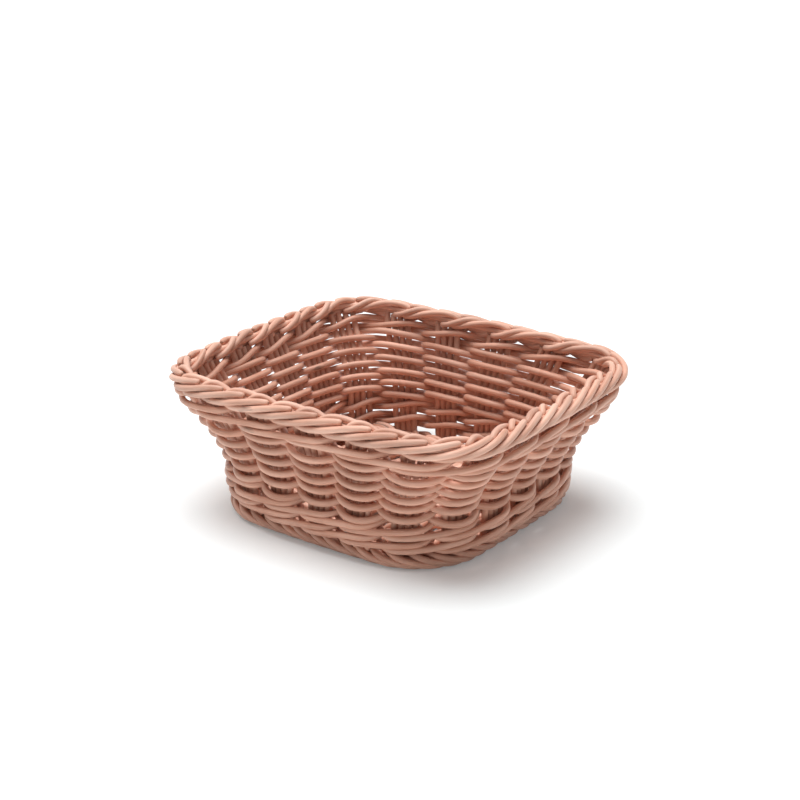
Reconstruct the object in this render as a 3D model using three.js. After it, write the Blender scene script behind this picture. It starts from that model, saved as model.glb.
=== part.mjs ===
// Pastry basket woven from round plastic rods.
// Millimetres, +Z up, the origin under the middle of the foot at table height.
// +X runs along the longer side, and the front of the basket faces -Y.

import * as THREE from 'three';

// Rim, outside sizes
const rimLength = 200;
const rimWidth = 174.5;
const basketHeight = 76.8;
const rimBorderWidth = 11;
const rimBorderHeight = 10.7;
const rimCornerRadius = 25.5;
const rimBow = 3.4;

// Foot, outside sizes
const footLength = 149.5;
const footWidth = 144.2;
const footBorderWidth = 12;
const footBorderHeight = 9.5;
const footCornerRadius = 30;
const footBow = 1.7;
const footProjection = 2;

// Rods and the gaps left between them
const rodDiameter = 3;
const rowGap = 0.1;
const clearance = 0.3;
const weaverSides = 5;

// Uprights: flat groups of rods that stand closer at the foot than at the rim. The spaces between
// the groups are counted along the front, right, back and left sides.
const rodsPerStake = 4;
const stakeFootPitch = 2.8;
const stakeHeadPitch = 4.2;
const sideIntervals = [6, 5, 5, 5];
const firstStake = 0.2; // of a space, from the front left corner

// Weave
const lowerWaleRounds = 2;
const upperWaleRounds = 1;
const rodsPerWale = 3;
const weaverLengths = 8;
const levelShare = 0.25; // of the space between stakes, before and after a wale rod climbs

// Border ropes: strands that lie over the border's edge, and how far they twist round it
const strandsPerStake = 2;
const rimTwist = 7;
const footTwist = -6;
const rimSectionPoints = 10;
const footSectionPoints = 8;
const strandGroove = 0.14; // depth of the grooves between strands, as a share of the radius

// Base: sticks across the width, bands of rods woven along the length. Both counts are odd, so
// the outermost bands lie over the foot border at both ends.
const baseStickCount = 7;
const baseBandCount = 11;
const baseBandGap = 0.6;
const baseClearance = 0.5; // inside the foot border
const rodsPerStick = 3;

// Finish of the rods
const rodRoughness = 0.55;
const rodColours = {
  stake: 0xb9775a,
  weaver: 0xc98a6b,
  wale: 0xcb8d6e,
  border: 0xd39a7c,
  base: 0xc08164,
};

// Worked out from the sizes above
const rodRadius = rodDiameter / 2;
const rowPitch = rodDiameter + rowGap;
const stakeCount = sideIntervals.reduce((sum, count) => sum + count, 0);
const passOffset = rodRadius + clearance + rodRadius;
const wallInset = passOffset + rodRadius + clearance;
const tableHeight = 0;
const footLevel = footBorderHeight / 2;
const rimLevel = basketHeight - rimBorderHeight / 2;
const wallBottom = footBorderHeight + clearance;
const wallTop = basketHeight - rimBorderHeight - clearance;

const footLine = {
  halfLength: footLength / 2 - footBow - footProjection - rodRadius,
  halfWidth: footWidth / 2 - footBow - footProjection - rodRadius,
  cornerRadius: footCornerRadius,
  bow: footBow,
};
const footBorderLine = {
  halfLength: (footLength - footBorderWidth) / 2 - footBow,
  halfWidth: (footWidth - footBorderWidth) / 2 - footBow,
  cornerRadius: footCornerRadius,
  bow: footBow,
};
const rimLine = {
  halfLength: (rimLength - rimBorderWidth) / 2 - rimBow,
  halfWidth: (rimWidth - rimBorderWidth) / 2 - rimBow,
  cornerRadius: rimCornerRadius,
  bow: rimBow,
};
const stickLevel = footBorderHeight - rodRadius;
const stickWidth = rodsPerStick * rodDiameter;
const baseWallLine = wallLineAt(wallBottom);
const footInset = footBorderWidth / 2 + baseClearance;
const stickPitch = 2 * (footBorderLine.halfLength - footInset) / baseStickCount;
const bandPitch = 2 * (footBorderLine.halfWidth - footInset) / baseBandCount;
const bandWidth = bandPitch - baseBandGap;

const rods = new THREE.Group();

function addRod(name, geometry, colour) {
  const material = new THREE.MeshStandardMaterial({
    color: colour,
    roughness: rodRoughness,
    metalness: 0,
  });
  const mesh = new THREE.Mesh(geometry, material);
  mesh.name = name;
  rods.add(mesh);
  return mesh;
}

function numbered(stem, index) {
  return `${stem}_${String(index + 1).padStart(2, '0')}`;
}

// Closed solid through a list of rings with equal point counts, each running over the top and
// down again. An endless solid joins its last ring to its first, and each ring's last point
// joins the first point of the ring that lies skew rings further on. The triangles of the first
// end are a fan unless they are given.
function loft(rings, { endless = false, skew = 0, endFaces } = {}) {
  const size = rings[0].length;
  const fan = Array.from({ length: size - 2 }, (_, index) => [0, index + 1, index + 2]);
  const indexOf = (ring, point) => {
    const joined = point < size ? ring : ring + skew;
    return THREE.MathUtils.euclideanModulo(joined, rings.length) * size + point % size;
  };
  const faces = [];
  const spans = endless ? rings.length : rings.length - 1;
  for (let ring = 0; ring < spans; ring += 1) {
    for (let point = 0; point < size; point += 1) {
      const a = indexOf(ring, point);
      const b = indexOf(ring + 1, point);
      const c = indexOf(ring + 1, point + 1);
      const d = indexOf(ring, point + 1);
      faces.push(a, b, c, a, c, d);
    }
  }
  if (!endless) {
    const last = (rings.length - 1) * size;
    for (const [a, b, c] of endFaces ?? fan) {
      faces.push(a, b, c, last + a, last + c, last + b);
    }
  }
  const geometry = new THREE.BufferGeometry();
  const positions = rings.flat().flatMap((corner) => corner.toArray());
  geometry.setAttribute('position', new THREE.Float32BufferAttribute(positions, 3));
  geometry.setIndex(faces);
  geometry.computeVertexNormals();
  return geometry;
}

// Point of a plan outline: a rectangle with round corners whose sides bow outward.
// Side 0 is the front, then right, back and left; share runs 0 to 1 between corner middles.
function outlinePoint(line, side, share) {
  const alongX = side % 2 === 0;
  const half = alongX ? line.halfLength : line.halfWidth;
  const depth = alongX ? line.halfWidth : line.halfLength;
  const radius = line.cornerRadius;
  const halfArc = radius * Math.PI / 4;
  const straight = 2 * (half - radius);
  const distance = share * (2 * halfArc + straight);
  let x = distance - halfArc - (half - radius);
  let y = -depth;
  if (distance < halfArc) {
    const angle = -Math.PI * 3 / 4 + distance / radius;
    x = radius - half + radius * Math.cos(angle);
    y = radius - depth + radius * Math.sin(angle);
  } else if (distance > halfArc + straight) {
    const angle = -Math.PI / 2 + (distance - halfArc - straight) / radius;
    x = half - radius + radius * Math.cos(angle);
    y = radius - depth + radius * Math.sin(angle);
  }
  const bowedX = x * (1 + line.bow * Math.cos(Math.PI / 2 * y / depth) / half);
  const bowedY = y * (1 + line.bow * Math.cos(Math.PI / 2 * x / half) / depth);
  return new THREE.Vector2(bowedX, bowedY).rotateAround(new THREE.Vector2(), side * Math.PI / 2);
}

// Place on an outline counted in stakes, from the first one counterclockwise
function pointAtStake(line, place) {
  let rest = THREE.MathUtils.euclideanModulo(place + firstStake, stakeCount);
  let side = 0;
  while (rest >= sideIntervals[side]) {
    rest -= sideIntervals[side];
    side += 1;
  }
  return outlinePoint(line, side, rest / sideIntervals[side]);
}

// How far up the wall a height is, 0 at the middle of the foot border and 1 at that of the rim
function riseAt(height) {
  return (height - footLevel) / (rimLevel - footLevel);
}

function wallPoint(place, height) {
  return pointAtStake(footLine, place).lerp(pointAtStake(rimLine, place), riseAt(height));
}

// Outward direction of an outline, square to it in plan
function outwardAt(point, place) {
  const step = 0.01;
  const ahead = point(place + step);
  const along = ahead.sub(point(place - step)).normalize();
  return new THREE.Vector2(along.y, -along.x);
}

function stakeOutward(stake) {
  const middle = (wallBottom + wallTop) / 2;
  return outwardAt((place) => wallPoint(place, middle), stake);
}

// Point beside a stake: along it counterclockwise, and outward from its middle plane
function besideStake(stake, height, along, outward) {
  const normal = stakeOutward(stake);
  const centre = wallPoint(stake, height);
  return new THREE.Vector3(
    centre.x - normal.y * along + normal.x * outward,
    centre.y + normal.x * along + normal.y * outward,
    height,
  );
}

// Points round a section, the first one on top, on the side angles of a full turn
function ringOf(count, pointAt) {
  return Array.from({ length: count }, (_, index) => (
    pointAt(Math.PI / 2 + index * 2 * Math.PI / count)
  ));
}

// Rod with flat ends along a path that runs about level, its corners mitred in plan
function rodAlong(path) {
  const rings = path.map((point, index) => {
    const before = path[Math.max(index - 1, 0)];
    const after = path[Math.min(index + 1, path.length - 1)];
    const into = new THREE.Vector2(point.x - before.x, point.y - before.y);
    const out = new THREE.Vector2(after.x - point.x, after.y - point.y);
    const arriving = (index > 0 ? into : out).clone().normalize();
    const leaving = (index < path.length - 1 ? out : into).clone().normalize();
    const mitre = arriving.clone().add(leaving).normalize();
    const spread = rodRadius / mitre.dot(arriving);
    return ringOf(weaverSides, (angle) => new THREE.Vector3(
      point.x + mitre.y * spread * Math.cos(angle),
      point.y - mitre.x * spread * Math.cos(angle),
      point.z + rodRadius * Math.sin(angle),
    ));
  });
  return loft(rings);
}

// Section of rods side by side: thickness along x, width along y
function groupSection(count, pitch) {
  const roundSide = [-Math.PI / 3, 0, Math.PI / 3];
  const face = [];
  for (let rod = 0; rod < count; rod += 1) {
    const middle = (rod - (count - 1) / 2) * pitch;
    for (const angle of roundSide) {
      face.push(new THREE.Vector2(
        rodRadius * Math.cos(angle),
        middle + rodRadius * Math.sin(angle),
      ));
    }
  }
  const otherFace = face.map((point) => point.clone().negate());
  return [...face, ...otherFace];
}

// Uprights: each group of rods leans outward and spreads from the foot border to the rim border
function addStakes() {
  const sectionAt = (height) => groupSection(rodsPerStake, stakePitchAt(height));
  const endFaces = THREE.ShapeUtils.triangulateShape(sectionAt(wallTop), []);
  for (let stake = 0; stake < stakeCount; stake += 1) {
    const rings = [wallTop, wallBottom].map((height) => (
      sectionAt(height).map(({ x, y }) => besideStake(stake, height, y, x))
    ));
    addRod(numbered('stake_group', stake), loft(rings, { endFaces }), rodColours.stake);
  }
}

function stakePitchAt(height) {
  const rise = (height - wallBottom) / (wallTop - wallBottom);
  return THREE.MathUtils.lerp(stakeFootPitch, stakeHeadPitch, rise);
}

// Half the length of rod that runs straight past a stake. It is a little less than half the
// stake's width, because the stake's edges are round.
function passHalfAt(height) {
  return ((rodsPerStake - 1) * stakePitchAt(height) + rodDiameter) / 2 - clearance;
}

// Points of a rod where it passes a stake, outside the wall (side 1) or inside (side -1),
// unless it has to stay outside for longer before or after
function passPoints(
  stake,
  side,
  heightIn,
  heightOut,
  before = passHalfAt(heightIn),
  after = passHalfAt(heightOut),
) {
  return [
    besideStake(stake, heightIn, -before, side * passOffset),
    besideStake(stake, heightOut, after, side * passOffset),
  ];
}

// Where a wale rod starts or ends its climb between two stakes, measured from the stake's middle
function riseStart(stake, neighbour, height) {
  const space = wallPoint(stake, height).distanceTo(wallPoint(neighbour, height));
  const passHalf = passHalfAt(height);
  return passHalf + (space - 2 * passHalf) * levelShare;
}

// One rod of a wale round. It passes two stakes outside, low and then high, and drops behind
// the third. It goes once round, and its ends butt behind the stake where it starts.
function waleRod(rod, middle) {
  const low = middle - rowPitch / 2;
  const high = middle + rowPitch / 2;
  const behind = (along, height) => besideStake(rod, height, along, -passOffset);
  const path = [behind(clearance / 2, middle), behind(passHalfAt(low), low)];
  for (let step = 1; step < stakeCount; step += 1) {
    const stake = rod + step;
    const passes = [
      [-1, high, low],
      [1, low, low, passHalfAt(low), riseStart(stake, stake + 1, middle)],
      [1, high, high, riseStart(stake, stake - 1, middle), passHalfAt(high)],
    ];
    path.push(...passPoints(stake, ...passes[step % rodsPerWale]));
  }
  path.push(behind(-passHalfAt(high), high), behind(-clearance / 2, middle));
  return rodAlong(path);
}

function addWale(stem, rounds, bottom) {
  for (let round = 0; round < rounds; round += 1) {
    const middle = bottom + (2 * round + 1) * rowPitch;
    for (let rod = 0; rod < rodsPerWale; rod += 1) {
      const index = round * rodsPerWale + rod;
      addRod(numbered(stem, index), waleRod(rod, middle), rodColours.wale);
    }
  }
}

// Single rods woven over one stake and under the next. The odd number of stakes makes it one
// spiral, and each new length starts where the last one ends, behind a stake.
function addWeavers(bottom, top) {
  const rows = Math.floor((top - bottom) / rowPitch);
  const pitch = (top - bottom) / rows;
  const passes = (rows - 1) * stakeCount;
  const heightAt = (pass) => bottom + pitch * (0.5 + pass / stakeCount);
  const behind = (pass, along) => besideStake(pass, heightAt(pass), along, -passOffset);
  const edgeAt = (pass) => passHalfAt(heightAt(pass));
  const splitAt = (length) => 1 + 2 * Math.floor(length * (passes - 1) / (2 * weaverLengths));
  for (let length = 0; length < weaverLengths; length += 1) {
    const first = splitAt(length);
    const last = splitAt(length + 1);
    const path = [behind(first, clearance / 2), behind(first, edgeAt(first))];
    for (let pass = first + 1; pass < last; pass += 1) {
      const side = pass % 2 === 0 ? 1 : -1;
      path.push(...passPoints(pass, side, heightAt(pass), heightAt(pass)));
    }
    path.push(behind(last, -edgeAt(last)), behind(last, -clearance / 2));
    addRod(numbered('wall_weaver', length), rodAlong(path), rodColours.weaver);
  }
}

// Border rope: strands lie side by side and twist round the border as ridges. The width and
// height are those of the ridges, and the rope is flat wherever it would reach below the table.
function borderRope({ line, width, height, middle, twist, sectionPoints }) {
  const ringCount = 2 * strandsPerStake * stakeCount;
  const skew = 2 * twist;
  const angles = Array.from({ length: sectionPoints }, (_, point) => (
    (point + 0.5) * 2 * Math.PI / sectionPoints
  ));
  const halfWidth = width / 2 / Math.max(...angles.map(Math.cos));
  const halfHeight = height / 2 / Math.max(...angles.map(Math.sin));
  const rings = [];
  for (let ring = 0; ring < ringCount; ring += 1) {
    const swell = ring % 2 === 0 ? 1 : 1 - strandGroove;
    rings.push(angles.map((angle, point) => {
      const place = (ring + skew * point / sectionPoints) * stakeCount / ringCount;
      const outward = outwardAt((at) => pointAtStake(line, at), place);
      const centre = pointAtStake(line, place);
      centre.addScaledVector(outward, swell * halfWidth * Math.cos(angle));
      const level = middle + swell * halfHeight * Math.sin(angle);
      return new THREE.Vector3(centre.x, centre.y, Math.max(level, tableHeight));
    }));
  }
  return loft(rings, { endless: true, skew });
}

function addBorders() {
  const rim = borderRope({
    line: rimLine,
    width: rimBorderWidth,
    height: rimBorderHeight,
    middle: rimLevel,
    twist: rimTwist,
    sectionPoints: rimSectionPoints,
  });
  addRod('rim_border', rim, rodColours.border);
  const footHalfHeight = footBorderHeight / (2 - strandGroove);
  const foot = borderRope({
    line: footBorderLine,
    width: footBorderWidth,
    height: 2 * footHalfHeight,
    middle: footBorderHeight - footHalfHeight,
    twist: footTwist,
    sectionPoints: footSectionPoints,
  });
  addRod('foot_border', foot, rodColours.border);
}

// How far a straight rod of the base reaches from the middle, along X or along Y, inside an
// outline drawn in by inset, when its far edge lies at across from the middle
function reachInside(line, inset, alongX, across) {
  const half = alongX ? line.halfLength : line.halfWidth;
  const depth = alongX ? line.halfWidth : line.halfLength;
  const radius = line.cornerRadius - inset;
  const intoCorner = Math.max(across - (depth - inset - radius), 0);
  const reach = half - inset - radius + Math.sqrt(radius ** 2 - intoCorner ** 2);
  return reach * (1 + line.bow * Math.cos(Math.PI / 2 * across / depth) / half);
}

function wallLineAt(height) {
  const rise = riseAt(height);
  const between = (name) => THREE.MathUtils.lerp(footLine[name], rimLine[name], rise);
  return {
    halfLength: between('halfLength'),
    halfWidth: between('halfWidth'),
    cornerRadius: between('cornerRadius'),
    bow: between('bow'),
  };
}

// Base sticks: straight groups of rods across the width, inside the foot border
function addBaseSticks() {
  const section = new THREE.Shape(groupSection(rodsPerStick, rodDiameter));
  const toWidth = new THREE.Matrix4().makeBasis(
    new THREE.Vector3(0, 0, 1),
    new THREE.Vector3(1, 0, 0),
    new THREE.Vector3(0, 1, 0),
  );
  for (let stick = 0; stick < baseStickCount; stick += 1) {
    const x = stickPlace(stick);
    const reach = reachInside(footBorderLine, footInset, false, Math.abs(x) + stickWidth / 2);
    const geometry = new THREE.ExtrudeGeometry(section, {
      depth: 2 * reach,
      steps: 1,
      bevelEnabled: false,
    });
    geometry.applyMatrix4(toWidth);
    const mesh = addRod(numbered('base_stick', stick), geometry, rodColours.base);
    mesh.position.set(x, -reach, stickLevel);
  }
}

function stickPlace(stick) {
  return (stick - (baseStickCount - 1) / 2) * stickPitch;
}

// Base bands: flat groups of rods along the length, over one stick and under the next. An end
// that lies over the last stick reaches on over the foot border and rests there.
function addBaseBands() {
  for (let band = 0; band < baseBandCount; band += 1) {
    const y = (band - (baseBandCount - 1) / 2) * bandPitch;
    const across = Math.abs(y) + bandWidth / 2;
    const lowReach = reachInside(footBorderLine, footInset, true, across);
    const highReach = reachInside(baseWallLine, wallInset, true, across);
    const reachAt = (stick) => ((stick + band) % 2 === 0 ? highReach : lowReach);
    const from = -reachAt(0);
    const to = reachAt(baseStickCount - 1);
    addRod(numbered('base_band', band), baseBand(band, y, from, to), rodColours.base);
  }
}

function baseBand(band, y, from, to) {
  const step = rodDiameter + clearance;
  const half = stickWidth / 2 - clearance;
  const path = [];
  for (let stick = 0; stick < baseStickCount; stick += 1) {
    const level = stickLevel + ((stick + band) % 2 === 0 ? step : -step);
    const start = stick === 0 ? from : stickPlace(stick) - half;
    const end = stick === baseStickCount - 1 ? to : stickPlace(stick) + half;
    path.push([start, level], [end, level]);
  }
  const corners = [[-1, 1], [1, 1], [1, -1], [-1, -1]];
  return loft(path.map(([x, level]) => corners.map(([side, up]) => (
    new THREE.Vector3(x, y + side * bandWidth / 2, level + up * rodRadius)
  ))));
}

const lowerWaleTop = wallBottom + 2 * rowPitch * lowerWaleRounds;
const upperWaleBottom = wallTop - 2 * rowPitch * upperWaleRounds;

addStakes();
addWale('lower_wale_rod', lowerWaleRounds, wallBottom);
addWeavers(lowerWaleTop, upperWaleBottom);
addWale('upper_wale_rod', upperWaleRounds, upperWaleBottom);
addBorders();
addBaseSticks();
addBaseBands();

export default rods;
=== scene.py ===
# Pastry basket woven from round plastic rods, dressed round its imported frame.
# Metres, +Z up. The basket stands on the floor at z = 0, its longer side along X.

import math
import random

import bmesh
import bpy
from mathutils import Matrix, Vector


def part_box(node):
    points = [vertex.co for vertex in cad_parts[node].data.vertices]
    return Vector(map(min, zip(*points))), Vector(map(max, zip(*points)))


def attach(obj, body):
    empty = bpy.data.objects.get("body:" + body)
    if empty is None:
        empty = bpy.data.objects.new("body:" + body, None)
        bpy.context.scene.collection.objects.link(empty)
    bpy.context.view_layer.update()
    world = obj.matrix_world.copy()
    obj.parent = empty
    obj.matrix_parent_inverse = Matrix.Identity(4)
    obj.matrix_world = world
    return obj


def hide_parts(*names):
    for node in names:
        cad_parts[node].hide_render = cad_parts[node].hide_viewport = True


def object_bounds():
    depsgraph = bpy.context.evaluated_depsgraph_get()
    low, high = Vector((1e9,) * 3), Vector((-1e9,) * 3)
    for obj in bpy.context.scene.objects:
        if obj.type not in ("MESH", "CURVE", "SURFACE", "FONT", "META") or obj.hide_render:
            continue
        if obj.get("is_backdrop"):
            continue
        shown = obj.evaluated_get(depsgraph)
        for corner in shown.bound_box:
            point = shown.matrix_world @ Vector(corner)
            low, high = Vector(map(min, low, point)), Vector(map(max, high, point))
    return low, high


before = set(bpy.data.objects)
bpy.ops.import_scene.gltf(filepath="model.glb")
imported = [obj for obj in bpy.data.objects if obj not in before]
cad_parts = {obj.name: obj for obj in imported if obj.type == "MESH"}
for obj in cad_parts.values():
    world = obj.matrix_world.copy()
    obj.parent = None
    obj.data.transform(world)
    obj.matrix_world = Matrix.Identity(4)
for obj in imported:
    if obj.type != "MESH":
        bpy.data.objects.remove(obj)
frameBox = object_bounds()
scene = bpy.context.scene
scene.view_settings.view_transform = "Standard"

# Camera

cameraView = {
    "place": Vector((0.5118, -0.6939, 0.3811)),
    "target": Vector((-0.0031, 0.0048, 0.0533)),
    "lens": 81.6,  # mm, on a 36 mm wide sensor
}


def aimAt(thing, place, target):
    thing.location = place
    thing.rotation_euler = (target - place).to_track_quat("-Z", "Y").to_euler()


def makeCamera():
    camera = bpy.data.objects.new("camera", bpy.data.cameras.new("camera"))
    scene.collection.objects.link(camera)
    camera.data.lens = cameraView["lens"]
    aimAt(camera, cameraView["place"], cameraView["target"])
    scene.camera = camera


makeCamera()
print("camera placed")

# Materials


class Wire:
    # A node's output that can be used in sums
    def __init__(self, finish, socket):
        self.finish = finish
        self.socket = socket

    def maths(self, operation, first, second):
        return self.finish.node("ShaderNodeMath", {"operation": operation}, {0: first, 1: second})

    def __add__(self, other):
        return self.maths("ADD", self, other)

    def __radd__(self, other):
        return self.maths("ADD", other, self)

    def __sub__(self, other):
        return self.maths("SUBTRACT", self, other)

    def __rsub__(self, other):
        return self.maths("SUBTRACT", other, self)

    def __mul__(self, other):
        return self.maths("MULTIPLY", self, other)

    def __rmul__(self, other):
        return self.maths("MULTIPLY", other, self)


class Finish:
    # The nodes of a material or of the world
    def __init__(self, holder):
        holder.use_nodes = True
        self.holder = holder
        self.tree = holder.node_tree
        self.tree.nodes.clear()

    def node(self, kind, settings=None, inputs=None, output=0):
        made = self.tree.nodes.new(kind)
        for name, value in (settings or {}).items():
            if name == "stops":
                self.setStops(made.color_ramp, value)
            else:
                setattr(made, name, value)
        for name, value in (inputs or {}).items():
            if isinstance(value, Wire):
                self.tree.links.new(value.socket, made.inputs[name])
            else:
                made.inputs[name].default_value = value
        return Wire(self, made.outputs[output])

    def setStops(self, ramp, stops):
        while len(ramp.elements) < len(stops):
            ramp.elements.new(1)
        for element, (place, value) in zip(ramp.elements, stops):
            element.position = place
            element.color = (value, value, value, 1)

    def mixColours(self, share, first, second):
        return self.node("ShaderNodeMix", {"data_type": "RGBA"}, {0: share, 6: first, 7: second}, 2)

    def ramp(self, value, *stops):
        return self.node("ShaderNodeValToRGB", {"stops": stops}, {0: value})

    def attribute(self, name, output):
        return self.node("ShaderNodeAttribute", {"attribute_name": name}, None, output)

    def scaled(self, vector, *factors):
        return self.node("ShaderNodeVectorMath", {"operation": "MULTIPLY"}, {0: vector, 1: factors})

    def noise(self, vector, scale, detail=2.0):
        inputs = {"Vector": vector, "Scale": scale, "Detail": detail}
        return self.node("ShaderNodeTexNoise", None, inputs)

    def close(self, shader, kind="ShaderNodeOutputMaterial"):
        output = self.tree.nodes.new(kind)
        self.tree.links.new(shader.socket, output.inputs["Surface"])
        return self.holder


def colour(red, green, blue):
    # From the 0 to 255 scale of a screen to the shader's own scale
    def straight(value):
        share = value / 255
        return share / 12.92 if share <= 0.04045 else ((share + 0.055) / 1.055) ** 2.4
    return (straight(red), straight(green), straight(blue), 1)


# Extruded plastic rod with a wood look: fine lines along it, blotches, and now and then a
# dark mark. rodSpace runs along the rod in x and across it in y and z, in metres.
rodLook = {
    "base": colour(223, 175, 153),
    "deep": colour(197, 142, 118),
    "pale": colour(237, 196, 178),
    "mark": colour(92, 72, 64),
    "cut": colour(150, 118, 102),
    "lines": (40, 1500, 1500),  # per metre, along and across
    "lineStops": ((0.35, 0), (0.75, 1)),  # of the noise, and the share that each gives
    "lineShare": 0.45,
    "lineDepth": 0.00009,
    "blotches": (28, 110, 110),
    "blotchStops": ((0.36, 0), (0.62, 1)),
    "marks": (26, 130, 130),
    "markStops": ((0.70, 0), (0.76, 1)),
    "markShare": 0.75,
    "cutShare": 0.7,
    "toneLow": 0.89,
    "toneSpread": 0.22,  # from rod to rod
    "roughness": 0.42,
    "roughnessSpread": 0.2,
    "shine": 0.3,
    # Painted light and shade for each part: the border paler for painted light on its top, the foot
    # darker for painted shade under the flaring wall, the wall redder for painted shade between the
    # rods, the stakes darker and redder for painted shade behind the weavers, and the base a little
    # darker
    "paintedLightTints": {  # of the colours above, with painted light and shade
        "stake": (0.97, 0.94, 0.92),
        "wall": (1.02, 0.97, 0.945),
        "border": (1.04, 1.06, 1.07),
        "foot": (0.93, 0.88, 0.86),
        "base": (0.95, 0.95, 0.95),
    },
}


def rodFinish(name, paintedLightTint):
    look = rodLook
    finish = Finish(bpy.data.materials.new(name))
    space = finish.attribute("rodSpace", "Vector")
    tone = finish.attribute("rodTone", "Fac")
    cut = finish.attribute("rodCut", "Fac")
    lines = finish.noise(finish.scaled(space, *look["lines"]), 1.0, 3.0)
    blotches = finish.noise(finish.scaled(space, *look["blotches"]), 1.0, 3.0)
    marks = finish.noise(finish.scaled(space, *look["marks"]), 1.0, 4.0)
    blotchShare = finish.ramp(blotches, *look["blotchStops"])
    body = finish.mixColours(blotchShare, look["deep"], look["base"])
    lineShare = finish.ramp(lines, *look["lineStops"]) * look["lineShare"]
    body = finish.mixColours(lineShare, body, look["pale"])
    level = tone * look["toneSpread"] + look["toneLow"]
    # The part's tint paints its light and shade into the rod colour
    inputs = {0: finish.scaled(body, *paintedLightTint), "Scale": level}
    body = finish.node("ShaderNodeVectorMath", {"operation": "SCALE"}, inputs)
    markShare = finish.ramp(marks, *look["markStops"]) * look["markShare"]
    body = finish.mixColours(markShare, body, look["mark"])
    body = finish.mixColours(cut * look["cutShare"], body, look["cut"])
    bump = finish.node("ShaderNodeBump", None, {"Distance": look["lineDepth"], "Height": lines})
    spread = look["roughnessSpread"]
    inputs = {
        "Base Color": body,
        "Roughness": lines * spread + (look["roughness"] - spread / 2),
        "Specular IOR Level": look["shine"],
        "Normal": bump,
    }
    return finish.close(finish.node("ShaderNodeBsdfPrincipled", None, inputs))


# Lit and shaded copies of the one rod finish, one for each part
rodFinishes = {
    kind: rodFinish(kind + "RodPlastic", paintedLightTint) for kind, paintedLightTint in rodLook["paintedLightTints"].items()
}
print("materials made")

# Floor, light and background

studio = {
    "floorSize": 8.0,
    "floorColour": (0.93, 0.98, 0.99, 1),
    "worldLevel": 0.27,
    "lift": 0.17,  # share of plain white that the camera sees mixed into the floor
    "keyFrom": Vector((-0.17, 0.03, 1.0)),
    "keySpread": 50,  # degrees that the soft lamp fills, seen from the basket
    "keyPower": 3.55,
}


def cameraShare(finish):
    # 1 for what the camera sees straight, in a reflection or through glass
    share = finish.node("ShaderNodeLightPath", None, None, "Is Camera Ray")
    outputs = share.socket.node.outputs
    for way in ("Is Glossy Ray", "Is Transmission Ray"):
        share = share.maths("MAXIMUM", share, Wire(finish, outputs[way]))
    return share


def makeFloor():
    floorMesh = bpy.data.meshes.new("floor")
    sheet = bmesh.new()
    bmesh.ops.create_grid(sheet, x_segments=1, y_segments=1, size=studio["floorSize"] / 2)
    sheet.to_mesh(floorMesh)
    sheet.free()
    floor = bpy.data.objects.new("floor", floorMesh)
    scene.collection.objects.link(floor)
    finish = Finish(bpy.data.materials.new("paleFloor"))
    plain = finish.node("ShaderNodeBsdfDiffuse", None, {"Color": studio["floorColour"]})
    white = finish.node("ShaderNodeEmission", None, {"Strength": 1.0})
    share = cameraShare(finish) * studio["lift"]
    mixed = finish.node("ShaderNodeMixShader", None, {0: share, 1: plain, 2: white})
    floorMesh.materials.append(finish.close(mixed))
    floor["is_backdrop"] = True


def makeWorld():
    scene.world = bpy.data.worlds.new("studio")
    finish = Finish(scene.world)
    levels = (studio["worldLevel"], 1.0)
    inputs = [{"Color": (1, 1, 1, 1), "Strength": level} for level in levels]
    light, white = [finish.node("ShaderNodeBackground", None, each) for each in inputs]
    seen = cameraShare(finish)
    mixed = finish.node("ShaderNodeMixShader", None, {0: seen, 1: light, 2: white})
    finish.close(mixed, "ShaderNodeOutputWorld")


def makeKeyLight():
    lamp = bpy.data.lights.new("keyLight", "SUN")
    lamp.angle = math.radians(studio["keySpread"])
    lamp.energy = studio["keyPower"]
    light = bpy.data.objects.new("keyLight", lamp)
    scene.collection.objects.link(light)
    aimAt(light, studio["keyFrom"], Vector((0, 0, 0)))


makeFloor()
makeWorld()
makeKeyLight()
print("floor and light made")

# Plan of the basket. A place on it is counted in stakes, counterclockwise from the one by the
# front left corner, and a line is a rectangle with round corners whose sides bow outward.

basket = {
    "stakeSpaces": (5.4, 5.2, 5.0, 5.4),  # along the front, right, back and left sides
    "firstStake": -0.12,  # of a space, from the front left corner
    "rodsPerStake": 4,
    "stakeFootPitch": 0.0033,
    "stakeRimPitch": 0.0042,
    "rimWidth": 0.011,
    "rimCorner": 0.0255,
    "rimBow": 0.0034,
    "footWidth": 0.012,
    "footCorner": 0.030,
    "footBow": 0.0017,
    "footProjection": 0.0035,  # of the foot beyond the middle of the wall
    "wallCorner": 0.045,  # of the wall where it leaves the foot
    "profile": (  # of the wall: share of the height, and share of the way out to the rim
        (0, 0),
        (0.12, 0.11),
        (0.22, 0.15),
        (0.36, 0.17),
        (0.45, 0.21),
        (0.6, 0.4),
        (0.7, 0.57),
        (0.85, 0.82),
        (1, 1),
    ),
    "rowPitch": 0.0031,
    "stakeRod": 0.0034,
    "weaverRod": 0.0036,
    "waleRod": 0.0033,
    "rimRod": 0.0032,
    "footRod": 0.0033,
}
stakeCount = round(sum(basket["stakeSpaces"]))
rimLow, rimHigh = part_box("rim_border")
footLow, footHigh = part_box("foot_border")
stakeLow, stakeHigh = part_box("stake_group_01")
rimLevel = (rimLow.z + rimHigh.z) / 2
footLevel = (footLow.z + footHigh.z) / 2


def makeLine(low, high, inset, corner, bow):
    return {
        "halfLength": (high.x - low.x) / 2 - inset - bow,
        "halfWidth": (high.y - low.y) / 2 - inset - bow,
        "corner": corner,
        "bow": bow,
    }


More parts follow.
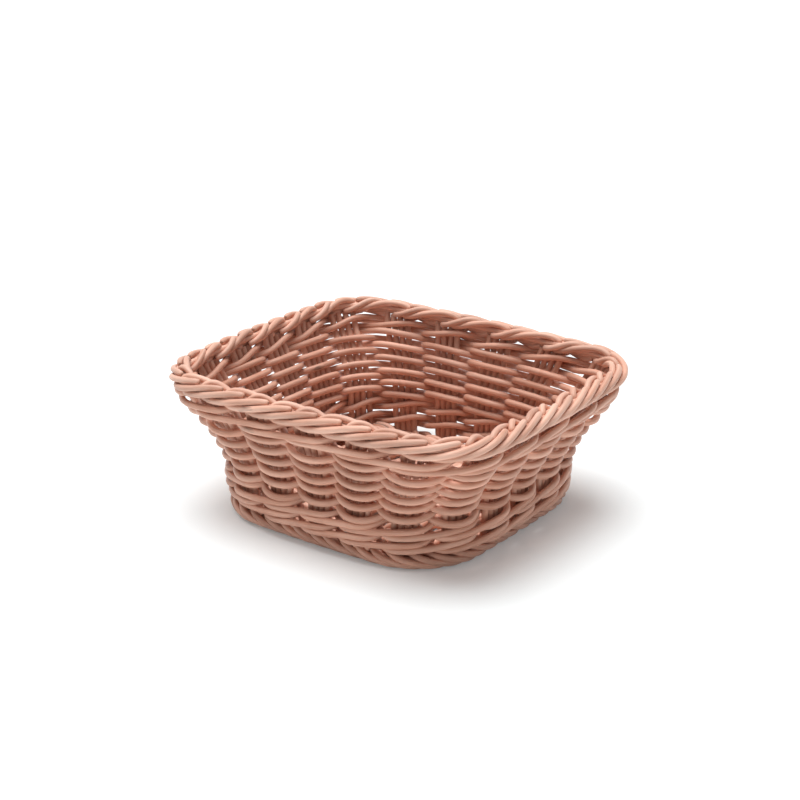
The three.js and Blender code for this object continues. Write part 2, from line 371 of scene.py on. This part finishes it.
rimInset, footInset = basket["rimWidth"] / 2, basket["footWidth"] / 2
rimBow, footBow = basket["rimBow"], basket["footBow"]
rimLine = makeLine(rimLow, rimHigh, rimInset, basket["rimCorner"], rimBow)
footLine = makeLine(footLow, footHigh, footInset, basket["footCorner"], footBow)
# The middle of the wall where it leaves the foot
wallInset = basket["footProjection"]
wallLine = makeLine(footLow, footHigh, wallInset, basket["wallCorner"], footBow)


def sidePoint(line, side, share):
    half = line["halfLength"] if side % 2 == 0 else line["halfWidth"]
    depth = line["halfWidth"] if side % 2 == 0 else line["halfLength"]
    radius = line["corner"]
    arc = radius * math.pi / 4
    straight = 2 * (half - radius)
    distance = share * (2 * arc + straight)
    x = distance - arc - (half - radius)
    y = -depth
    if distance < arc:
        angle = -math.pi * 3 / 4 + distance / radius
        x = radius - half + radius * math.cos(angle)
        y = radius - depth + radius * math.sin(angle)
    elif distance > arc + straight:
        angle = -math.pi / 2 + (distance - arc - straight) / radius
        x = half - radius + radius * math.cos(angle)
        y = radius - depth + radius * math.sin(angle)
    bowedX = x * (1 + line["bow"] * math.cos(math.pi / 2 * y / depth) / half)
    bowedY = y * (1 + line["bow"] * math.cos(math.pi / 2 * x / half) / depth)
    turnX, turnY = ((1, 0), (0, 1), (-1, 0), (0, -1))[side]
    return Vector((bowedX * turnX - bowedY * turnY, bowedX * turnY + bowedY * turnX, 0))


def linePoint(line, place):
    rest = (place + basket["firstStake"]) % stakeCount
    for side, spaces in enumerate(basket["stakeSpaces"]):
        if rest < spaces:
            return sidePoint(line, side, rest / spaces)
        rest -= spaces
    return sidePoint(line, 0, 0)


def slopeAt(keys, index, part):
    before, after = keys[max(index - 1, 0)], keys[min(index + 1, len(keys) - 1)]
    return (after[part] - before[part]) / (after[0] - before[0])


def valueAt(keys, place, part=1):
    # Smooth through the keys, each slope taken from the keys on either side
    passed = sum(key[0] <= place for key in keys)
    index = min(max(passed - 1, 0), len(keys) - 2)
    here, there = keys[index], keys[index + 1]
    gap = there[0] - here[0]
    share = min(max((place - here[0]) / gap, 0), 1)
    leave, arrive = slopeAt(keys, index, part) * gap, slopeAt(keys, index + 1, part) * gap
    eased = share * share * (3 - 2 * share)
    bend = share * (1 - share) * (leave * (1 - share) - arrive * share)
    return here[part] + (there[part] - here[part]) * eased + bend


def wallCentre(place, height):
    rise = valueAt(basket["profile"], (height - footLevel) / (rimLevel - footLevel))
    return linePoint(wallLine, place).lerp(linePoint(rimLine, place), rise)


def outwardAt(point, place, reach=0.05):
    along = point(place + reach) - point(place - reach)
    return Vector((along.y, -along.x, 0)).normalized()


def wallSpot(place, height, outward, sag):
    # What stands out from the wall also lies lower, by this share, and what stands in higher
    spot = wallCentre(place, height)
    spot += outwardAt(lambda at: wallCentre(at, height), place) * outward
    spot.z = height - sag * outward
    return spot


def ropeSpot(line, level, halfWidth, halfHeight):
    # Round a border: angle 0 is outward and 90 up, and reach 1 is the middle of its outer rods
    def spot(place, angle, reach):
        turn = math.radians(angle)
        centre = linePoint(line, place)
        outward = outwardAt(lambda at: linePoint(line, at), place)
        found = centre + outward * (halfWidth * reach * math.cos(turn))
        found.z = level + halfHeight * reach * math.sin(turn)
        return found
    return spot


rimSpot = ropeSpot(
    rimLine,
    rimLevel,
    (basket["rimWidth"] - basket["rimRod"]) / 2,
    (rimHigh.z - rimLow.z - basket["rimRod"]) / 2,
)
footSpot = ropeSpot(
    footLine,
    footLevel,
    (basket["footWidth"] - basket["footRod"]) / 2,
    (footHigh.z - footLow.z - basket["footRod"]) / 2,
)

# Rods. A rod is a list of points along its middle, and a track gives those points from a few
# keys: a place, and two values that the spot function turns into a point.

rodMesh = {
    "trackStep": 0.0008,
    "ringStep": 0.0014,
    "sides": 10,  # an even number
    "cutTip": ((0, 0), (0.02, 0.80), (0.08, 0.95), (0.20, 1)),  # distance and size, in thicknesses
    "roundTip": ((0, 0), (0.04, 0.40), (0.14, 0.70), (0.32, 0.93), (0.55, 1)),
    "capRings": 2,  # at each end, that show the cut
    "unevenness": 0.03,
    "waves": (55, 130),  # of the thickness, per metre
    "grainShift": 9,  # metres at most, from rod to rod
    "weld": 1e-6,
    "coreStep": 0.05,  # of a stake space, between points
    "coreOverlap": 0.3,
}


def track(keys, spot):
    points = []
    for here, there in zip(keys, keys[1:]):
        length = (spot(*there) - spot(*here)).length
        steps = max(2, math.ceil(length / rodMesh["trackStep"]))
        for step in range(steps):
            place = here[0] + (there[0] - here[0]) * step / steps
            points.append(spot(place, valueAt(keys, place, 1), valueAt(keys, place, 2)))
    points.append(spot(*keys[-1]))
    return points


def evenRings(points, thickness, draw, tip):
    # Points at even steps, each with its size and how far along the rod it lies
    distances = [0]
    for here, there in zip(points, points[1:]):
        distances.append(distances[-1] + (there - here).length)
    total = distances[-1]
    firstTip = [(far * thickness, size) for far, size in rodMesh[tip]]
    lastTip = [(total - far, size) for far, size in reversed(firstTip)]
    start, end = firstTip[-1][0], lastTip[0][0]
    steps = max(2, round((end - start) / rodMesh["ringStep"]))
    middle = [(start + (end - start) * step / steps, 1) for step in range(1, steps)]
    phases = [draw.uniform(0, math.tau) for wave in rodMesh["waves"]]
    rings = []
    index = 0
    for distance, size in firstTip + middle + lastTip:
        while index < len(points) - 2 and distances[index + 1] < distance:
            index += 1
        gap = distances[index + 1] - distances[index]
        spot = points[index].lerp(points[index + 1], (distance - distances[index]) / gap)
        for wave, phase in zip(rodMesh["waves"], phases):
            size *= 1 + rodMesh["unevenness"] / 2 * math.sin(math.tau * wave * distance + phase)
        rings.append((spot, size, distance))
    return rings


def rodCurve(name, thickness):
    curve = bpy.data.curves.new(name, "CURVE")
    curve.dimensions = "3D"
    curve.bevel_depth = thickness / 2
    curve.bevel_resolution = rodMesh["sides"] // 2 - 2
    curve.twist_mode = "MINIMUM"
    return curve


def addSpline(curve, rings):
    spline = curve.splines.new("POLY")
    spline.points.add(len(rings) - 1)
    places = [value for spot, size, far in rings for value in (*spot, 1)]
    spline.points.foreach_set("co", places)
    spline.points.foreach_set("radius", [size for spot, size, far in rings])


def curveMesh(name, curve):
    holder = bpy.data.objects.new(name + "Line", curve)
    mesh = bpy.data.meshes.new_from_object(holder)
    bpy.data.objects.remove(holder)
    bpy.data.curves.remove(curve)
    mesh.name = name
    return mesh


def tagRings(tags, rings, thickness, start, tone):
    # For the finish: where each corner of the mesh lies on its rod, the rod's tone, and its ends
    sides, caps = rodMesh["sides"], rodMesh["capRings"]
    for number, (spot, size, far) in enumerate(rings):
        isCut = number < caps or number >= len(rings) - caps
        across = thickness / 2 * size
        for side in range(sides):
            angle = math.tau * side / sides
            place = (start + far, across * math.cos(angle), across * math.sin(angle))
            tags["rodSpace"].extend(place)
            tags["rodTone"].append(tone)
            tags["rodCut"].append(1.0 if isCut else 0.0)


def makeRods(name, rods, thickness, finish, nodes, tip="cutTip"):
    draw = random.Random(name)
    curve = rodCurve(name, thickness)
    tags = {"rodSpace": [], "rodTone": [], "rodCut": []}
    for points in rods:
        rings = evenRings(points, thickness, draw, tip)
        addSpline(curve, rings)
        start, tone = draw.uniform(0, rodMesh["grainShift"]), draw.random()
        tagRings(tags, rings, thickness, start, tone)
    mesh = curveMesh(name, curve)
    for tag, values in tags.items():
        kind, field = ("FLOAT_VECTOR", "vector") if tag == "rodSpace" else ("FLOAT", "value")
        mesh.attributes.new(tag, kind, "POINT").data.foreach_set(field, values)
    work = bmesh.new()
    work.from_mesh(mesh)
    bmesh.ops.remove_doubles(work, verts=work.verts, dist=rodMesh["weld"])
    bmesh.ops.recalc_face_normals(work, faces=work.faces)
    for face in work.faces:
        face.smooth = True
    work.to_mesh(mesh)
    work.free()
    mesh.materials.clear()
    mesh.materials.append(finish)
    piece = bpy.data.objects.new(name, mesh)
    scene.collection.objects.link(piece)
    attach(piece, "root")
    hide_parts(*nodes)


def numbered(stem, index):
    return f"{stem}_{index + 1:02d}"


# Stakes: four rods side by side, standing in the foot and ending inside the rim

stakes = {
    "intoFoot": 0.003,
    "intoRim": 0.003,
    "waver": 0.0002,
    "heights": 18,  # steps
    "reach": 0.2,  # of a stake space, either way, to measure how wide the space is
}


def stakePitch(height):
    rise = (height - stakeLow.z) / (stakeHigh.z - stakeLow.z)
    return basket["stakeFootPitch"] + (basket["stakeRimPitch"] - basket["stakeFootPitch"]) * rise


def besideStake(stake, height, along):
    # The rods of a stake by a corner stand round the corner
    reach = stakes["reach"]
    across = wallCentre(stake + reach, height) - wallCentre(stake - reach, height)
    space = across.length / (2 * reach)
    spot = wallCentre(stake + along / space, height)
    spot.z = height
    return spot


def makeStakes():
    low = stakeLow.z - stakes["intoFoot"]
    high = stakeHigh.z + stakes["intoRim"]
    for stake in range(stakeCount):
        draw = random.Random(f"stake {stake}")
        rods = []
        for rod in range(basket["rodsPerStake"]):
            fromMiddle = rod - (basket["rodsPerStake"] - 1) / 2
            points = []
            for step in range(stakes["heights"] + 1):
                height = low + (high - low) * step / stakes["heights"]
                waver = draw.uniform(-1, 1) * stakes["waver"]
                points.append(besideStake(stake, height, fromMiddle * stakePitch(height) + waver))
            rods.append(points)
        node = numbered("stake_group", stake)
        name = numbered("stakeRods", stake)
        makeRods(name, rods, basket["stakeRod"], rodFinishes["stake"], [node])


makeStakes()
print("stakes made")

# Wall weavers and wales

weaving = {
    "lowerRises": ((0, 0), (0, 0.9)),  # of each round, at its start and end, in row pitches
    "upperRises": ((-0.5, 0.0),),
    "rodsPerWale": 3,
    "weaverLengths": 8,
    "offsets": (0.0046, 0.0034),  # outside and inside, from the middle of the wall to a rod
    "roundness": (1.3, 0.45),  # outside and inside, 0 is straight with a sharp turn at each end
    "waleOffsets": (0.0044, 0.0036),
    "waleRoundness": (0.7, 0.6),
    "waleClimb": 0.7,  # of the row pitch, up or down from the middle of the round
    "sag": 0.45,  # how much lower a rod lies for each step outward, in the weave and in the wales
    "waleSag": 0.4,
    "lowerLift": 0.0018,  # of the lowest and topmost rows above their nodes, to make up for it
    "upperLift": 0.0017,
    "waleLift": 0.0016,
    "heightWander": 0.0004,
    "depthWander": 0.00045,
    "endOverlap": 0.10,  # of a stake space, past the stake's middle
    "step": 0.03,  # of a stake space, between points
}
rowPitch = basket["rowPitch"]
lowerWaleTop = stakeLow.z + 2 * rowPitch * len(weaving["lowerRises"])
upperWaleBottom = stakeHigh.z - 2 * rowPitch * len(weaving["upperRises"])


def wander(draw, count, size):
    # A value that drifts smoothly from pass to pass
    values = [draw.uniform(-1, 1) * size for number in range(count + 2)]

    def at(place):
        index = min(max(math.floor(place), 0), count)
        share = min(max(place - index, 0), 1)
        return values[index] + (values[index + 1] - values[index]) * share * share * (3 - 2 * share)
    return at


def throughWall(swing, offsets, roundness):
    # Turns a plain swing, from -1 inside to 1 outside, into long passes and short crossings
    face = 0 if swing > 0 else 1
    gentle = roundness[face]
    return offsets[face] * swing * math.sqrt((1 + gentle ** 2) / (swing ** 2 + gentle ** 2))


def wovenRod(start, end, offsetAt, heightAt, sag):
    steps = math.ceil((end - start) / weaving["step"])
    places = [start + (end - start) * step / steps for step in range(steps + 1)]
    return [wallSpot(place, heightAt(place), offsetAt(place), sag) for place in places]


def makeWeavers():
    rows = math.floor((upperWaleBottom - lowerWaleTop) / rowPitch)
    bottom = lowerWaleTop + weaving["lowerLift"]
    pitch = (upperWaleBottom + weaving["upperLift"] - bottom) / rows
    passes = (rows - 1) * stakeCount
    draw = random.Random("weavers")
    lift = wander(draw, passes, weaving["heightWander"])
    drift = wander(draw, passes, weaving["depthWander"])
    lengths = weaving["weaverLengths"]
    splits = [
        1 + 2 * math.floor(part * (passes - 1) / (2 * lengths)) for part in range(lengths + 1)
    ]

    def heightAt(place):
        return bottom + pitch * (0.5 + place / stakeCount) + lift(place)

    def offsetAt(place):
        swing = math.cos(math.pi * place)
        return throughWall(swing, weaving["offsets"], weaving["roundness"]) + drift(place) * swing

    for part in range(lengths):
        start = splits[part] - weaving["endOverlap"]
        end = splits[part + 1] + weaving["endOverlap"]
        rods = [wovenRod(start, end, offsetAt, heightAt, weaving["sag"])]
        name, node = numbered("wallWeaver", part), numbered("wall_weaver", part)
        makeRods(name, rods, basket["weaverRod"], rodFinishes["wall"], [node])


def waleRod(rod, middle, rise, draw):
    # Behind its first stake, then outside two and behind one. It comes out low and goes in high,
    # and follows the slope of the weave, from the first to the second value of its rise.
    group = weaving["rodsPerWale"]
    lift = wander(draw, stakeCount, weaving["heightWander"])
    drift = wander(draw, stakeCount, weaving["depthWander"])

    def phaseAt(place):
        return (place - rod + 0.5) % group - 0.5

    def offsetAt(place):
        phase = phaseAt(place)
        fromCrossing = min(abs(phase - 0.5), abs(phase - group + 0.5), phase + 0.5, 0.5)
        side = 1 if 0.5 < phase < group - 0.5 else -1
        swing = side * math.sin(math.pi * fromCrossing)
        offset = throughWall(swing, weaving["waleOffsets"], weaving["waleRoundness"])
        return offset + drift(place - rod) * swing

    def heightAt(place):
        phase = phaseAt(place)
        share = -math.sin(math.pi * phase)
        if phase > 0.5:
            share = math.sin(math.pi / (group - 1) * (phase - group / 2))
        follow = rise[0] + (rise[1] - rise[0]) * (place - rod) / stakeCount
        return middle + (weaving["waleClimb"] * share + follow) * rowPitch + lift(place - rod)

    start = rod - weaving["endOverlap"]
    end = rod + stakeCount + weaving["endOverlap"]
    return wovenRod(start, end, offsetAt, heightAt, weaving["waleSag"])


def makeWale(stem, nodeStem, bottom, rises):
    for turn, rise in enumerate(rises):
        middle = bottom + weaving["waleLift"] + (2 * turn + 1) * rowPitch
        for rod in range(weaving["rodsPerWale"]):
            index = turn * weaving["rodsPerWale"] + rod
            rods = [waleRod(rod, middle, rise, random.Random(f"{stem} {index}"))]
            name, node = numbered(stem, index), numbered(nodeStem, index)
            makeRods(name, rods, basket["waleRod"], rodFinishes["wall"], [node])


makeWeavers()
makeWale("lowerWaleRod", "lower_wale_rod", stakeLow.z, weaving["lowerRises"])
makeWale("upperWaleRod", "upper_wale_rod", upperWaleBottom, weaving["upperRises"])
print("wall woven")

# Rim: strands that rise over the outer face and end along the ridge, and others that come out
# under their tips and drop over the inner edge, by turns a short steep one and a long one

rim = {
    "strands": 44,
    "outer": [(  # place after the start in stake spaces, angle and reach
        (-0.2, -112, 0.6),
        (0.0, -86, 0.98),
        (0.34, -40, 1.0),
        (0.68, 4, 1.0),
        (1.02, 48, 1.0),
        (1.22, 74, 1.0),
        (1.33, 88, 0.9),
    )],
    "inner": [
        (
            (-0.04, 84, 0.3),
            (0.0, 100, 0.7),
            (0.08, 116, 1.2),
            (0.2, 136, 1.38),
            (0.38, 168, 1.28),
            (0.56, 200, 1.05),
            (0.68, 220, 0.85),
        ),
        (
            (-0.04, 80, 0.3),
            (0.0, 94, 0.66),
            (0.12, 108, 1.14),
            (0.32, 124, 1.34),
            (0.58, 150, 1.28),
            (0.82, 186, 1.06),
            (1.0, 214, 0.85),
        ),
    ],
    "pairing": 0.03,  # how far the two of a pair move together, of the space between strands
    "placeWander": 0.03,
    "angleWander": 3.0,
    "reachWander": 0.03,
    "core": ((30, 0.36), (150, 0.36), (270, 0.36)),  # angle and reach of the rods inside
}


def ropeStrands(settings, keyName, spot, draw):
    strands = []
    kinds = settings[keyName]
    pitch = stakeCount / settings["strands"]
    for number in range(settings["strands"]):
        pairing = settings["pairing"] * (1 if number % 2 == 0 else -1)
        place = (number + pairing) * pitch + draw.uniform(-1, 1) * settings["placeWander"]
        turn = draw.uniform(-1, 1) * settings["angleWander"]
        reach = 1 + draw.uniform(-1, 1) * settings["reachWander"]
        shape = kinds[number % len(kinds)]
        keys = [(place + far, angle + turn, part * reach) for far, angle, part in shape]
        strands.append(track(keys, spot))
    return strands


def coreRods(settings, spot):
    # Each goes once round and a little past its own start
    step = rodMesh["coreStep"]
    count = round((stakeCount + rodMesh["coreOverlap"]) / step)
    places = [number * step for number in range(count)]
    return [[spot(place, angle, reach) for place in places] for angle, reach in settings["core"]]


def makeRim():
    draw = random.Random("rim")
    kinds = [
        ("rimOuterStrands", ropeStrands(rim, "outer", rimSpot, draw), "roundTip"),
        ("rimInnerStrands", ropeStrands(rim, "inner", rimSpot, draw), "roundTip"),
        ("rimCoreRods", coreRods(rim, rimSpot), "cutTip"),
    ]
    for name, rods, tip in kinds:
        size = basket["rimRod"]
        makeRods(name, rods, size, rodFinishes["border"], ["rim_border"], tip)


makeRim()
print("rim made")

# Foot: strands that fall over the outer face and run in under the basket

foot = {
    "strands": 50,
    "fall": [(
        (-0.1, 128, 0.6),
        (0.0, 106, 0.92),
        (0.08, 80, 1.0),
        (0.22, 46, 1.04),
        (0.44, 12, 1.04),
        (0.72, -24, 1.0),
        (1.06, -64, 1.0),
        (1.4, -104, 1.0),
        (1.75, -146, 0.95),
        (1.92, -166, 0.8),
    )],
    "pairing": 0.05,
    "placeWander": 0.04,
    "angleWander": 2.5,
    "reachWander": 0.0,
    "core": (  # the last three line the inner side, up to the base
        (0, 0.35),
        (180, 0.35),
        (130, 0.98),
        (180, 1.0),
        (180, 1.65),
    ),
}


def makeFoot():
    strands = ropeStrands(foot, "fall", footSpot, random.Random("foot"))
    cores = coreRods(foot, footSpot)
    for name, rods in (("footStrands", strands), ("footCoreRods", cores)):
        makeRods(name, rods, basket["footRod"], rodFinishes["foot"], ["foot_border"])


makeFoot()
print("foot made")

# Base: sticks across the width, and bands of three rods woven along the length

base = {
    "sticks": 7,
    "bands": 11,
    "rods": 3,  # in each stick and band
    "clearance": 0.0003,
}


def makeBase():
    stickLow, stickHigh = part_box("base_stick_01")
    level = (stickLow.z + stickHigh.z) / 2
    half = (stickHigh.x - stickLow.x) / 2
    fromMiddle = [rod - (base["rods"] - 1) / 2 for rod in range(base["rods"])]
    stickPlaces = []
    for stick in range(base["sticks"]):
        node = numbered("base_stick", stick)
        low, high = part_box(node)
        x = (low.x + high.x) / 2
        stickPlaces.append(x)
        size = (high.x - low.x) / base["rods"]
        rods = [[Vector((x + far * size, y, level)) for y in (low.y, high.y)] for far in fromMiddle]
        makeRods(numbered("baseStick", stick), rods, size, rodFinishes["base"], [node])
    for band in range(base["bands"]):
        node = numbered("base_band", band)
        low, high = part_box(node)
        size = (high.y - low.y) / base["rods"]
        step = (stickHigh.z - stickLow.z) / 2 + base["clearance"] + size / 2
        keys = []
        for stick, x in enumerate(stickPlaces):
            rise = step if (stick + band) % 2 == 0 else -step
            start = low.x if stick == 0 else x - half
            end = high.x if stick == base["sticks"] - 1 else x + half
            keys += [(start, level + rise, 0), (end, level + rise, 0)]
        rods = []
        for far in fromMiddle:
            y = (low.y + high.y) / 2 + far * size
            rods.append(track(keys, lambda x, z, side, y=y: Vector((x, y + side, z))))
        makeRods(numbered("baseBand", band), rods, size, rodFinishes["base"], [node])


makeBase()
print("base made")

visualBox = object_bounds()
[[list(corner) for corner in box] for box in (frameBox, visualBox)]
